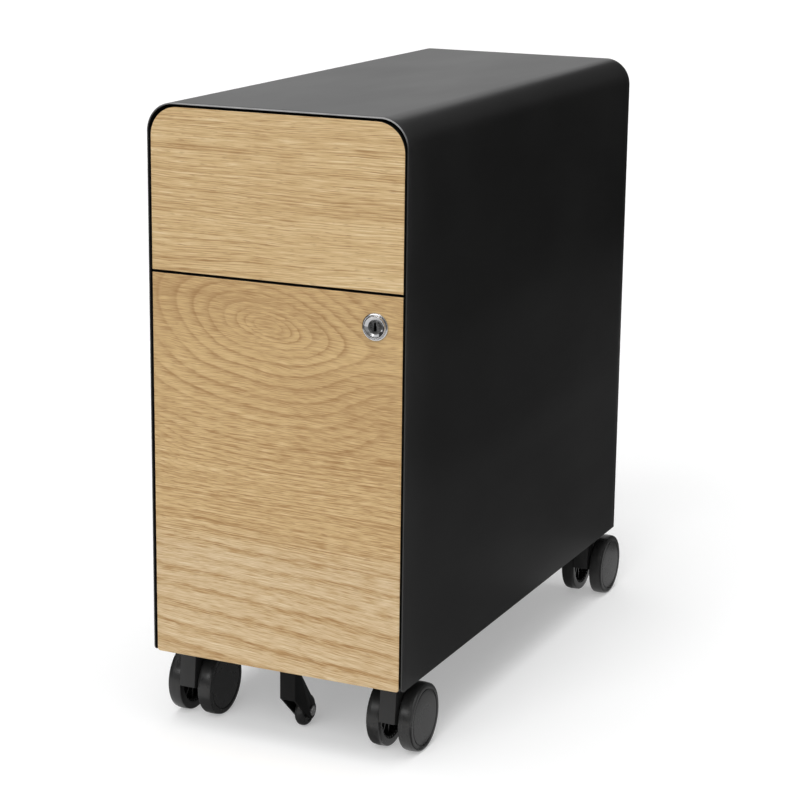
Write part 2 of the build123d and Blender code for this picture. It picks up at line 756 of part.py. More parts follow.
# Casters: a fork that swivels on its stem, an axle and two wheels with ribs inside
wheel_hub_depth = wheel_width - axle_cover
wheel_recess = wheel_width - wheel_web
wheel_rim_radius = wheel_radius - wheel_rim
wheel_mid_radius = (wheel_hub_radius + wheel_rim_radius) / 2
wheel_bevel = wheel_round / 2
for caster, (x, y) in casters.items():
    axle_y = y + caster_trail
    wheel_axis = Axis((x, axle_y, axle_z), (1, 0, 0))

    with BuildPart() as fork:
        with BuildSketch(facing_right(x - fork_width / 2)):
            with Locations((axle_y, axle_z)):
                Circle(fork_boss_radius)
            with BuildLine():
                Polyline(
                    (y - fork_nose, axle_z + fork_foot_rise),
                    (y - fork_nose + fork_nose_rake, crown_bottom_z),
                    (y + fork_back, crown_bottom_z),
                    close=True,
                )
            make_face()
            make_hull()
        extrude(amount=fork_width)
        with BuildSketch(Plane.XY.offset(crown_bottom_z)):
            with Locations((x, y)):
                Circle(crown_radius)
        extrude(amount=crown_height)
        chamfer(fork.faces().sort_by(Axis.Z)[-1].edges(), crown_bevel)
        with BuildSketch(Plane.XY.offset(crown_top_z + overrun)):
            with Locations((x, y)):
                Circle(stem_radius + kingpin_fit)
        extrude(amount=-(kingpin_length + overrun), mode=Mode.SUBTRACT)
        with BuildSketch(facing_right(x - fork_width)):
            with Locations((axle_y, axle_z)):
                Circle(axle_radius + axle_fit)
        extrude(amount=2 * fork_width, mode=Mode.SUBTRACT)
    write(fork, f"{caster}_caster_fork")

    axle_half = wheel_gap / 2 + wheel_hub_depth - axle_fit
    with BuildPart() as axle:
        with BuildSketch(facing_right(x - axle_half)):
            with Locations((axle_y, axle_z)):
                Circle(axle_radius)
        extrude(amount=2 * axle_half)
    write(axle, f"{caster}_caster_axle")

    for side_name, side in sides.items():
        inner_x = x + side * wheel_gap / 2
        with BuildPart() as wheel:
            with BuildSketch(facing_front(axle_y)):
                with BuildLine():
                    Polyline(
                        *[
                            (inner_x + side * t, axle_z + r)
                            for t, r in (
                                (0, axle_radius + axle_fit),
                                (0, wheel_hub_radius),
                                (wheel_recess, wheel_hub_radius),
                                (wheel_recess, wheel_rim_radius),
                                (0, wheel_rim_radius),
                                (0, wheel_radius - wheel_inner_break),
                                (wheel_inner_break, wheel_radius),
                                (wheel_width - wheel_round, wheel_radius),
                                (wheel_width - wheel_bevel / 2, wheel_radius - wheel_bevel),
                                (wheel_width, wheel_radius - wheel_round),
                                (wheel_width, wheel_cap_radius + wheel_groove),
                                (wheel_width - wheel_groove, wheel_cap_radius),
                                (wheel_width, wheel_cap_radius - wheel_groove),
                                (wheel_width, 0),
                                (wheel_hub_depth, 0),
                                (wheel_hub_depth, axle_radius + axle_fit),
                            )
                        ],
                        close=True,
                    )
                make_face()
            revolve(axis=wheel_axis)
            with BuildSketch(facing_right(inner_x + side * wheel_rib_set)):
                with Locations((axle_y, axle_z)):
                    with PolarLocations(wheel_mid_radius, wheel_ribs):
                        Rectangle(
                            wheel_rim_radius - wheel_hub_radius + wheel_groove,
                            wheel_rib,
                        )
            extrude(amount=side * (wheel_recess - wheel_rib_set))
        write(wheel, f"{caster}_caster_{side_name}_wheel")
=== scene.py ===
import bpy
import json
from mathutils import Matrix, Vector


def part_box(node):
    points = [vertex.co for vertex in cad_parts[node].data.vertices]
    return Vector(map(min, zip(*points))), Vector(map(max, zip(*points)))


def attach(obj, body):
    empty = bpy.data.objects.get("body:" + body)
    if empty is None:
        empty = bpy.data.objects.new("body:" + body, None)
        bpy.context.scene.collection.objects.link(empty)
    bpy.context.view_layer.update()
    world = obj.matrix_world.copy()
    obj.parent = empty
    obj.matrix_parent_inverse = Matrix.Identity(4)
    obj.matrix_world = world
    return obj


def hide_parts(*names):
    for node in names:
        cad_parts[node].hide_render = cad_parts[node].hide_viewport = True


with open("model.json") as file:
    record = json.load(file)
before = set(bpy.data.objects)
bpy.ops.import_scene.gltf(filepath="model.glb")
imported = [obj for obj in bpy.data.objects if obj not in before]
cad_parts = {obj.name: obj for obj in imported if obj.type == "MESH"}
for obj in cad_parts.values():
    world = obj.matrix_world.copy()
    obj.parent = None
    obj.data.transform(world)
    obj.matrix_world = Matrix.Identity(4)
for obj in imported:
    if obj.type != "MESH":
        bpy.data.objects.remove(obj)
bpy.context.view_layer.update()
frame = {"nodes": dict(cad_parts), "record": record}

import json
import math
import bmesh
import bpy
from mathutils import Matrix, Vector

MM = 0.001
nodes = frame["nodes"]
body_of_node = {
    node: body
    for body, members in frame["record"]["behaviour"]["bodies"].items()
    for node in members
}
slot_of_node = {part["node"]: part["material_slot"] for part in frame["record"]["subparts"]}
casters = ("front_left", "front_right", "rear_left", "rear_right")
sides = {"left": -1, "right": 1}
drawers = ("upper", "lower")


# Node helpers

def add(tree, kind, inputs=(), **settings):
    """A new node of the tree, with its inputs linked or set."""
    node = tree.nodes.new(kind)
    for key, value in settings.items():
        setattr(node, key, value)
    for key, value in dict(inputs).items():
        socket = node.inputs[key]
        if isinstance(value, bpy.types.NodeSocket):
            tree.links.new(value, socket)
        else:
            socket.default_value = value
    return node


def maths(tree, operation, *values):
    return add(tree, "ShaderNodeMath", dict(enumerate(values)), operation=operation).outputs[0]


def between(tree, value, low, high, start, end):
    """The value's way from low to high, given as a number from start to end."""
    inputs = {0: value, 1: low, 2: high, 3: start, 4: end}
    return add(tree, "ShaderNodeMapRange", inputs).outputs[0]


def stepped(tree, value, stops):
    """A number that goes straight from stop to stop, each a (place, level) pair."""
    level = stops[0][1]
    for (start, before), (end, after) in zip(stops, stops[1:]):
        level = maths(tree, "ADD", between(tree, value, start, end, 0, after - before), level)
    return level


def noise(tree, place, stretch, detail=2.0):
    """Cloudy noise about 0.5, with so many clouds to the metre along each axis."""
    mapped = add(tree, "ShaderNodeMapping", {"Vector": place, "Scale": stretch}).outputs[0]
    inputs = {"Vector": mapped, "Scale": 1.0, "Detail": detail}
    return add(tree, "ShaderNodeTexNoise", inputs).outputs[0]


def tones(tree, factor, *stops):
    """A colour ramp through (place, colour) stops."""
    ramp = add(tree, "ShaderNodeValToRGB", {0: factor})
    band = ramp.color_ramp.elements
    band[0].position, band[0].color = stops[0][0], (*stops[0][1], 1)
    band[1].position, band[1].color = stops[-1][0], (*stops[-1][1], 1)
    for position, colour in stops[1:-1]:
        band.new(position).color = (*colour, 1)
    return ramp.outputs[0]


def tinted(tree, factor, first, second):
    """The first colour with so much of the second mixed in."""
    inputs = {0: factor, 6: first, 7: second}
    return add(tree, "ShaderNodeMix", inputs, data_type="RGBA").outputs[2]


def relief(tree, shader, height, depth, strength):
    """Gives the surface a relief of so many metres."""
    inputs = {"Height": height, "Distance": depth, "Strength": strength}
    tree.links.new(add(tree, "ShaderNodeBump", inputs).outputs[0], shader.inputs["Normal"])


def paint(red, green, blue):
    """A colour of the photograph, 0 to 255, as the light it sends back."""
    shares = [value / 255 for value in (red, green, blue)]
    return tuple(s / 12.92 if s <= 0.04045 else ((s + 0.055) / 1.055) ** 2.4 for s in shares)


def grey(level):
    return (level, level, level)


def new_finish(name, **sockets):
    """A material, its tree, its shader and its Object coordinates."""
    finish = bpy.data.materials.new(name)
    finish.use_nodes = True
    shader = finish.node_tree.nodes["Principled BSDF"]
    for socket, value in sockets.items():
        shader.inputs[socket.replace("_", " ")].default_value = value
    place = add(finish.node_tree, "ShaderNodeTexCoord").outputs["Object"]
    return finish, finish.node_tree, shader, place


def join(tree, shader, **sockets):
    for socket, value in sockets.items():
        tree.links.new(value, shader.inputs[socket.replace("_", " ")])


# Finishes

def powder_coat(name, dark, light, roughness, rim=None):
    """Satin powder coat with a fine orange peel.

    rim is the (front, corner, top) of a front rim that gets a painted highlight above the corner, least at
    the left, standing in for the light line its rounded edge catches from above.
    """
    finish, tree, shader, place = new_finish(name, IOR=1.5)
    clouds = noise(tree, place, (7, 7, 7), 3)
    speckle = noise(tree, place, (900, 900, 900), 1)
    colour = tones(tree, clouds, (0.3, grey(dark)), (0.7, grey(light)))
    colour = tinted(tree, between(tree, speckle, 0.5, 0.8, 0, 0.35), colour, (*grey(light * 1.5), 1))
    if rim is not None:
        # Painted highlight: the rim's front edge is lightened from the corner up, weaker at the left, in
        # place of the light its rounded edge catches.
        front, corner, top = rim
        axes = add(tree, "ShaderNodeSeparateXYZ", {0: place})
        edge = between(tree, axes.outputs["Y"], front + 0.6 * MM, front + 0.9 * MM, 1, 0)
        above_corner = between(tree, axes.outputs["Z"], corner, top - 3 * MM, 0, 0.95)
        patchy = between(tree, noise(tree, place, (60, 60, 60)), 0.35, 0.7, 0.7, 1)
        less_to_left = between(tree, axes.outputs["X"], -120 * MM, -95 * MM, 0.25, 1)
        painted_highlight = maths(tree, "MULTIPLY", maths(tree, "MULTIPLY", edge, above_corner), patchy)
        painted_highlight = maths(tree, "MULTIPLY", painted_highlight, less_to_left)
        colour = tinted(tree, painted_highlight, colour, (*grey(0.42), 1))
    smears = noise(tree, place, (16, 5, 24), 3)
    gloss = between(tree, smears, 0.3, 0.7, roughness - 0.02, roughness + 0.02)
    join(tree, shader, Base_Color=colour, Roughness=gloss)
    relief(tree, shader, noise(tree, place, (650, 650, 650), 2), 0.03 * MM, 0.35)
    return finish


def oak_veneer(name, face, heart, near, bow, pinch, growth, lean, lay, shade, bleach, figure, streaked,
               short):
    """Flat-sawn oak: the rings of a log cut at a distance from its heart, with fibres and pores.

    face is the y of the veneer, behind which the board's edges and back are coloured near black. heart is
    the (x, z) above which the cut runs nearest to the log's heart, near how near it is, bow how fast
    it draws away to the sides, pinch how much the rings close up to the right, growth the (distance,
    ring count) pairs outwards. From top to bottom, lean gives the (z, slope of the rings), lay the
    (z, slope of the fibres), shade the (z, tone), bleach the (z, share of pale sapwood), figure the
    (z, strength of the rings) and streaked the (z, strength of the long streaks). short is how short
    the fibres are.
    """
    finish, tree, shader, place = new_finish(name, IOR=1.45)
    axes = add(tree, "ShaderNodeSeparateXYZ", {0: place})
    x, y, z = axes.outputs["X"], axes.outputs["Y"], axes.outputs["Z"]

    def swing(stretch, reach):
        wave = maths(tree, "SUBTRACT", noise(tree, place, stretch), 0.5)
        return maths(tree, "MULTIPLY", wave, reach)

    across = maths(tree, "SUBTRACT", x, heart[0])
    drift = maths(tree, "ADD", z, swing((4, 1, 9), 16 * MM))
    height = maths(tree, "SUBTRACT", drift, heart[1])
    height = maths(tree, "MULTIPLY_ADD", across, stepped(tree, z, lean), height)
    by_heart = between(tree, maths(tree, "ABSOLUTE", height), 30 * MM, 110 * MM, 1, 0)
    swirled = maths(tree, "MULTIPLY_ADD", swing((15, 1, 34), 12 * MM), by_heart, drift)
    swirled = maths(tree, "MULTIPLY_ADD", across, stepped(tree, z, lay), swirled)
    lie = add(tree, "ShaderNodeCombineXYZ", {0: x, 2: swirled}).outputs[0]
    frayed = height
    for wave in (swing((12, 1, 26), 10 * MM), swing((24, 1, 280), 2.5 * MM), swing((90, 1, 800), 3 * MM)):
        frayed = maths(tree, "ADD", frayed, wave)
    tip = maths(tree, "POWER", between(tree, across, 0, 110 * MM, 0, 1), 2.0)
    closing = maths(tree, "MULTIPLY", by_heart, pinch)
    frayed = maths(tree, "MULTIPLY", frayed, maths(tree, "MULTIPLY_ADD", tip, closing, 1.0))
    aside = maths(tree, "SMOOTH_MIN", across, 98 * MM, 30 * MM)
    depth = maths(tree, "MULTIPLY_ADD", maths(tree, "MULTIPLY", aside, aside), bow, near)
    distance = maths(tree, "SQRT", maths(tree, "ADD", maths(tree, "MULTIPLY", frayed, frayed),
                                         maths(tree, "MULTIPLY", depth, depth)))
    farthest, ring_count = growth[-1]
    curve = add(tree, "ShaderNodeFloatCurve", {1: maths(tree, "DIVIDE", distance, farthest)})
    line = curve.mapping.curves[0].points
    line[0].location = (growth[0][0] / farthest, growth[0][1] / ring_count)
    line[1].location = (1, 1)
    for reach, count in growth[1:-1]:
        line.new(reach / farthest, count / ring_count)
    curve.mapping.update()
    rings = maths(tree, "MULTIPLY", curve.outputs[0], ring_count)
    band = maths(tree, "FRACT", rings)
    ring = tones(tree, band, (0, grey(0.4)), (0.06, grey(0)), (0.16, grey(0.35)), (0.34, grey(0.75)),
                 (0.65, grey(1)), (0.93, grey(0.95)), (1, grey(0.4)))
    year = add(tree, "ShaderNodeTexWhiteNoise", {"W": maths(tree, "FLOOR", rings)}, noise_dimensions="1D")
    firmness = maths(tree, "MULTIPLY", between(tree, noise(tree, place, (9, 1, 22), 2), 0.35, 0.65, 0.45, 1),
                     between(tree, year.outputs["Value"], 0, 1, 0.35, 1.15))
    firmness = maths(tree, "MULTIPLY", firmness, stepped(tree, z, figure))
    firmness = maths(tree, "MULTIPLY", firmness,
                     between(tree, maths(tree, "ABSOLUTE", across), 60 * MM, 130 * MM, 1, 0.6))
    ring = maths(tree, "MULTIPLY", maths(tree, "SUBTRACT", ring, 0.7), firmness)

    fibres = noise(tree, lie, (24 * short, 1, 1100), 2)
    streaks = noise(tree, lie, (4, 1, 760), 2)
    zones = noise(tree, lie, (3, 1, 120), 2)
    clouds = noise(tree, lie, (3, 1, 22), 2)
    tone = maths(tree, "ADD", stepped(tree, z, shade), ring)
    long_grain = stepped(tree, z, streaked)
    short_grain = between(tree, by_heart, 0, 1, 1, 0.8)
    for layer, weight, strength in ((fibres, 1.6, short_grain), (streaks, 1.4, long_grain),
                                    (zones, 0.45, long_grain), (clouds, 0.45, 1.0)):
        swell = maths(tree, "MULTIPLY", maths(tree, "SUBTRACT", layer, 0.5), strength)
        tone = maths(tree, "MULTIPLY_ADD", swell, weight, tone)
    colour = tones(tree, tone, (0, paint(164, 126, 78)), (0.25, paint(185, 151, 103)),
                   (0.5, paint(204, 173, 124)), (0.75, paint(215, 187, 140)), (1, paint(226, 203, 162)))
    pale_ground = maths(tree, "MULTIPLY", between(tree, tone, 0.2, 0.55, 0, 1), stepped(tree, z, bleach))
    depth_of_hue = maths(tree, "SUBTRACT", 1.0, pale_ground)
    colour = add(tree, "ShaderNodeHueSaturation", {"Saturation": depth_of_hue, "Color": colour}).outputs[0]
    pores = between(tree, noise(tree, lie, (90, 1, 950), 1), 0.57, 0.70, 0, 1)
    pores = maths(tree, "MULTIPLY", pores, between(tree, band, 0.0, 0.6, 0.75, 0.2))
    colour = tinted(tree, pores, colour, (*paint(158, 121, 78), 1))
    # The board's edges and back, behind the veneer's face, are coloured near black.
    behind_face = between(tree, y, face + 0.4 * MM, face + 0.7 * MM, 0, 1)
    colour = tinted(tree, behind_face, colour, (0.010, 0.009, 0.008, 1))
    gloss = between(tree, streaks, 0.3, 0.7, 0.46, 0.58)
    join(tree, shader, Base_Color=colour, Roughness=gloss)
    relief(tree, shader, maths(tree, "SUBTRACT", fibres, pores), 0.05 * MM, 0.5)
    return finish


def plated(name, dark, light, roughness, stretch, warmth=1.0):
    """Bright plated or turned steel with drawing marks along one axis."""
    finish, tree, shader, place = new_finish(name, Metallic=1.0)
    marks = noise(tree, place, stretch, 3)
    clouds = noise(tree, place, (40, 40, 40), 3)
    mixed = maths(tree, "MULTIPLY_ADD", maths(tree, "SUBTRACT", clouds, 0.5), 0.35, marks)
    colour = tones(tree, mixed, (0.3, (dark * warmth, dark, dark / warmth)),
                   (0.7, (light * warmth, light, light / warmth)))
    gloss = between(tree, mixed, 0.25, 0.75, roughness - 0.07, roughness + 0.09)
    join(tree, shader, Base_Color=colour, Roughness=gloss)
    relief(tree, shader, marks, 0.01 * MM, 0.12)
    return finish


def turned_chrome(name, axis):
    """Polished chrome with the faint rings that turning leaves round the lock's axis."""
    finish, tree, shader, place = new_finish(name, Metallic=1.0)
    inputs = {"Vector": place, "Location": (-axis[0], 0, -axis[1])}
    centred = add(tree, "ShaderNodeMapping", inputs).outputs[0]
    axes = add(tree, "ShaderNodeSeparateXYZ", {0: centred})
    x, z = axes.outputs["X"], axes.outputs["Z"]
    radius = maths(tree, "SQRT", maths(tree, "MULTIPLY_ADD", x, x, maths(tree, "MULTIPLY", z, z)))
    rings = maths(tree, "SINE", maths(tree, "MULTIPLY", radius, 2 * math.pi / (0.22 * MM)))
    clouds = noise(tree, place, (300, 300, 300), 3)
    gloss = maths(tree, "MULTIPLY_ADD", rings, 0.02, between(tree, clouds, 0.3, 0.7, 0.10, 0.18))
    colour = tones(tree, clouds, (0.3, (0.45, 0.45, 0.46)), (0.7, (0.56, 0.56, 0.56)))
    join(tree, shader, Base_Color=colour, Roughness=gloss)
    relief(tree, shader, rings, 0.002 * MM, 0.3)
    return finish


def moulded(name, dark, light, roughness, grain=1800, ior=1.4):
    """Moulded nylon with a fine eroded grain and faint flow clouds."""
    finish, tree, shader, place = new_finish(name, IOR=ior)
    clouds = noise(tree, place, (30, 30, 30), 3)
    grain = noise(tree, place, (grain, grain, grain), 2)
    colour = tones(tree, clouds, (0.3, grey(dark)), (0.7, grey(light)))
    colour = tinted(tree, between(tree, grain, 0.55, 0.8, 0, 0.2), colour, (*grey(light * 1.5), 1))
    gloss = between(tree, clouds, 0.3, 0.7, roughness - 0.05, roughness + 0.05)
    join(tree, shader, Base_Color=colour, Roughness=gloss)
    relief(tree, shader, grain, 0.02 * MM, 0.12)
    return finish, tree, shader, place, colour, gloss


def caster_tread(name):
    """Grey-black wheel nylon, dulled and dusted where the tread meets the floor."""
    finish, tree, shader, place, colour, gloss = moulded(name, 0.019, 0.026, 0.28, 1500, 1.40)
    tread = add(tree, "ShaderNodeAttribute", attribute_name="tread").outputs["Fac"]
    scuffs = between(tree, noise(tree, place, (240, 90, 90), 3), 0.42, 0.7, 0.1, 0.6)
    worn = maths(tree, "MULTIPLY", tread, scuffs)
    colour = tinted(tree, worn, colour, (0.036, 0.035, 0.034, 1))
    gloss = maths(tree, "MULTIPLY_ADD", worn, 0.22, gloss)
    join(tree, shader, Base_Color=colour, Roughness=gloss)
    return finish


case_low, case_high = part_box("case_shell")
plug_low, plug_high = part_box("lock_plug")
lock_axis = ((plug_low.x + plug_high.x) / 2, (plug_low.z + plug_high.z) / 2)
# Where the case's front rim gets its painted highlight: the front, the height where it starts, and the top.
highlit_rim = (case_low.y, case_high.z - 24 * MM, case_high.z)

finishes = {
    "case_paint": powder_coat("case_paint", 0.011, 0.016, 0.34, highlit_rim),
    "inner_paint": powder_coat("inner_paint", 0.016, 0.024, 0.42),
    "zinc_plate": plated("zinc_plate", 0.48, 0.64, 0.38, (1100, 12, 1100)),
    "lock_chrome": turned_chrome("lock_chrome", lock_axis),
    "lock_steel": plated("lock_steel", 0.07, 0.14, 0.30, (420, 60, 1400)),
    "axle_steel": plated("axle_steel", 0.44, 0.60, 0.26, (900, 60, 60), 1.01),
    "fork_plastic": moulded("fork_plastic", 0.015, 0.022, 0.42)[0],
    "wheel_plastic": caster_tread("wheel_plastic"),
}
front_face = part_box("lower_front")[0].y
upper_oak = oak_veneer(
    "upper_oak_veneer", front_face,
    heart=(0.02, 1.02), near=0.05, bow=0.30, pinch=0,
    growth=((0.0, 0), (0.40, 30), (0.46, 42), (0.50, 47), (0.56, 58), (0.62, 66)),
    lean=((0.60, -0.01), (0.52, 0.02), (0.45, -0.03)), lay=((0.60, -0.01), (0.52, 0.02), (0.45, -0.02)),
    shade=((0.60, 0.52), (0.53, 0.48), (0.49, 0.52), (0.45, 0.50)),
    bleach=((0.60, 0), (0.45, 0)), figure=((0.60, 0.10), (0.45, 0.10)),
    streaked=((0.60, 1.15), (0.45, 1.15)), short=1.6,
)
lower_oak = oak_veneer(
    "lower_oak_veneer", front_face,
    heart=(-0.007, 0.406), near=0.030, bow=2.5, pinch=0.7,
    growth=((0.0298, 0), (0.0304, 1), (0.0312, 2), (0.0324, 3), (0.0350, 4), (0.0392, 5), (0.0446, 6),
            (0.057, 7.5), (0.0795, 9.5), (0.101, 11.5), (0.123, 14), (0.197, 30), (0.245, 33.5), (0.31, 37)),
    lean=((0.42, 0.16), (0.25, 0.03), (0.10, 0.09)), lay=((0.42, 0.03), (0.27, 0.0), (0.10, 0.08)),
    shade=((0.43, 0.28), (0.38, 0.33), (0.24, 0.39), (0.21, 0.34), (0.185, 0.47), (0.10, 0.47)),
    bleach=((0.40, -0.04), (0.215, 0.0), (0.185, 0.12), (0.10, 0.12)),
    figure=((0.43, 0.36), (0.38, 0.44), (0.35, 0.58), (0.31, 0.56), (0.27, 0.42), (0.20, 0.42),
            (0.185, 0.72), (0.10, 0.58)),
    streaked=((0.43, 0.25), (0.34, 0.35), (0.28, 0.9), (0.20, 1.05), (0.185, 0.75), (0.10, 0.65)),
    short=2.4,
)
oak_of_front = {"upper_front": upper_oak, "lower_front": lower_oak}
for node, piece in nodes.items():
    for slot in piece.material_slots:
        slot.material = oak_of_front.get(node) or finishes[slot_of_node[node]]


# Shape helpers

def new_piece(name, form):
    """A mesh object at the origin from a bmesh."""
    mesh = bpy.data.meshes.new(name)
    form.to_mesh(mesh)
    form.free()
    piece = bpy.data.objects.new(name, mesh)
    bpy.context.scene.collection.objects.link(piece)
    return piece


def settle(piece, smooth=35):
    """Turns what a piece's modifiers make into its plain mesh, smooth but for its sharp edges."""
    bpy.context.view_layer.update()
    graph = bpy.context.evaluated_depsgraph_get()
    mesh = bpy.data.meshes.new_from_object(piece.evaluated_get(graph))
    rough = piece.data
    piece.modifiers.clear()
    piece.data = mesh
    bpy.data.meshes.remove(rough)
    mesh.name = piece.name
    for face in mesh.polygons:
        face.use_smooth = True
    mesh.set_sharp_from_angle(angle=math.radians(smooth))


def hand_over(piece, node, finish=None):
    """A finished piece takes a CAD node's place and body, and the finish if one is given."""
    if finish is not None:
        piece.data.materials.clear()
        piece.data.materials.append(finish)
    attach(piece, body_of_node[node])
    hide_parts(node)


def eased(corners, steps=5):
    """An open outline with its corners rounded: each corner is (along, out, radius)."""
    outline = []
    for i, (along, out, radius) in enumerate(corners):
        here = Vector((along, out))
        if not radius:
            outline.append(here)
            continue
        back = (Vector(corners[i - 1][:2]) - here).normalized()
        ahead = (Vector(corners[i + 1][:2]) - here).normalized()
        half = back.angle(ahead) / 2
        middle = here + (back + ahead).normalized() * radius / math.sin(half)
        start = here + back * radius / math.tan(half) - middle
        end = here + ahead * radius / math.tan(half) - middle
        for k in range(steps + 1):
            way = start.lerp(end, k / steps).normalized()
            outline.append(middle + way * radius)
    return outline


def turned(outline, centre, axis, steps=72, tread=None):
    """Spins an outline of (along, out) points about an axis; tread gives each ring's share of wear."""
    form = bmesh.new()
    wear = form.verts.layers.float.new("tread") if tread else None
    along = Vector(axis)
    across = Vector((0, 0, 1)) if abs(along.z) < 0.5 else Vector((1, 0, 0))
    beside = along.cross(across)
    rings = []
    for way, out in outline:
        middle = Vector(centre) + along * way
        if out < 1e-7:
            rings.append([form.verts.new(middle)])
            continue
        turns = [2 * math.pi * k / steps for k in range(steps)]
        rings.append([
            form.verts.new(middle + (across * math.cos(t) + beside * math.sin(t)) * out) for t in turns
        ])
        if tread:
            for vert in rings[-1]:
                vert[wear] = tread(way, out)
    for first, second in zip(rings, rings[1:]):
        for k in range(steps):
            loop = [first[k % len(first)], first[(k + 1) % len(first)],
                    second[(k + 1) % len(second)], second[k % len(second)]]
            face = list(dict.fromkeys(loop))
            if len(face) > 2:
                form.faces.new(face)
    bmesh.ops.remove_doubles(form, verts=form.verts, dist=0.002 * MM)
    bmesh.ops.recalc_face_normals(form, faces=form.faces)
    return form


def softened(node, name, width, finish, segments=2, angle=35):
    """A copy of a CAD node with its sharp edges eased, as pressing and moulding leave them."""
    form = bmesh.new()
    form.from_mesh(nodes[node].data)
    bmesh.ops.remove_doubles(form, verts=form.verts, dist=0.002 * MM)
    bmesh.ops.dissolve_limit(form, angle_limit=math.radians(1), verts=form.verts, edges=form.edges)
    piece = new_piece(name, form)
    ease = piece.modifiers.new("eased edges", "BEVEL")
    ease.width = width
    ease.segments = segments
    ease.limit_method = "ANGLE"
    ease.angle_limit = math.radians(angle)
    settle(piece)
    hand_over(piece, node, finish)


def new_recipe(name, *sockets):
    """A Geometry Nodes tree with named inputs; returns it with its inputs and its output node."""
    tree = bpy.data.node_groups.new(name, "GeometryNodeTree")
    tree.interface.new_socket("Geometry", in_out="INPUT", socket_type="NodeSocketGeometry")
    for label, kind in sockets:
        tree.interface.new_socket(label, in_out="INPUT", socket_type="NodeSocket" + kind)
    tree.interface.new_socket("Geometry", in_out="OUTPUT", socket_type="NodeSocketGeometry")
    return tree, add(tree, "NodeGroupInput").outputs, add(tree, "NodeGroupOutput")


def follow(piece, recipe, sizes, smooth=35):
    """Runs a recipe on a piece with its named inputs set, and keeps the result as a plain mesh."""
    modifier = piece.modifiers.new(recipe.name, "NODES")
    modifier.node_group = recipe
    for socket in recipe.interface.items_tree:
        if socket.in_out == "INPUT" and socket.name in sizes:
            modifier[socket.identifier] = sizes[socket.name]
    settle(piece, smooth)


def finished_with(tree, geometry, result, finish):
    """The end of every recipe: instances made real, and the finish laid on."""
    real = add(tree, "GeometryNodeRealizeInstances", {0: geometry}).outputs[0]
    coated = add(tree, "GeometryNodeSetMaterial", {"Geometry": real, "Material": finish}).outputs[0]
    tree.links.new(coated, result.inputs[0])


# Case

def fold_case():
    """One sheet folded over both sides and the top, with rounded feet and eased rims."""
    node = "case_shell"
    sheet, corner, foot = 1.2 * MM, 27 * MM, 5 * MM
    low, high = case_low, case_high
    foot_steps = [foot * (1 - math.cos(k * math.pi / 16)) for k in range(9)]
    walls = [low.z + step for step in foot_steps] + [low.z + 0.15, low.z + 0.33]
    arc_steps = 24
    arc = [(math.pi / 2 * k / arc_steps) for k in range(arc_steps + 1)]
    half = (high.x - low.x) / 2
    line = [(-half, z) for z in walls]
    line += [(-half + corner * (1 - math.cos(t)), high.z - corner * (1 - math.sin(t))) for t in arc]
    line += [(-x, z) for x, z in reversed(line)]
    form = bmesh.new()
    rows = []
    for x, z in line:
        lift = z - low.z
        back = foot - math.sqrt(foot**2 - (foot - lift) ** 2) if lift < foot else 0
        front = low.y + back
        shares = (0, 0.02, 0.2, 0.4, 0.6, 0.8, 0.98, 1)
        rows.append([form.verts.new((x, front + (high.y - front) * s, z)) for s in shares])
    for first, second in zip(rows, rows[1:]):
        for k in range(len(first) - 1):
            form.faces.new((first[k], second[k], second[k + 1], first[k + 1]))
    piece = new_piece("case_shell_folded", form)
    wall = piece.modifiers.new("sheet", "SOLIDIFY")
    wall.thickness = sheet
    wall.offset = -1
    wall.use_even_offset = True
    rim = piece.modifiers.new("eased rim", "BEVEL")
    rim.width = 0.4 * MM
    rim.segments = 4
    rim.limit_method = "ANGLE"
    rim.angle_limit = math.radians(50)
    settle(piece, 40)
    hand_over(piece, node, finishes["case_paint"])


fold_case()


# Casters

def wheel_recipe():
    """Ribs from hub to rim and a ring of teeth under the rim, joined to a caster wheel's turned shell."""
    tree, inputs, result = new_recipe(
        "caster_wheel_ribs", ("Rib centre", "Vector"), ("Ribs", "Int"), ("Rib radius", "Float"),
        ("Rib size", "Vector"), ("Tooth centre", "Vector"), ("Teeth", "Int"), ("Tooth radius", "Float"),
        ("Tooth size", "Vector"), ("Finish", "Material"))
    both = add(tree, "GeometryNodeJoinGeometry")
    tree.links.new(inputs["Geometry"], both.inputs[0])
    for kind, count in (("Rib", "Ribs"), ("Tooth", "Teeth")):
        ring = add(tree, "GeometryNodeMeshCircle", {
            "Vertices": inputs[count], "Radius": inputs[kind + " radius"]}).outputs[0]
        stood = add(tree, "GeometryNodeTransform", {"Geometry": ring, "Rotation": (0, math.pi / 2, 0)})
        outwards = add(tree, "GeometryNodeInputPosition").outputs[0]
        turn = add(tree, "FunctionNodeAlignRotationToVector", {"Vector": outwards}, axis="Z", pivot_axis="X")
        block = add(tree, "GeometryNodeMeshCube", {"Size": inputs[kind + " size"]}).outputs[0]
        blocks = add(tree, "GeometryNodeInstanceOnPoints", {
            "Points": stood.outputs[0], "Instance": block, "Rotation": turn.outputs[0]}).outputs[0]
        placed = add(tree, "GeometryNodeTransform", {
            "Geometry": blocks, "Translation": inputs[kind + " centre"]}).outputs[0]
        tree.links.new(placed, both.inputs[0])
    finished_with(tree, both.outputs[0], result, inputs["Finish"])
    return tree


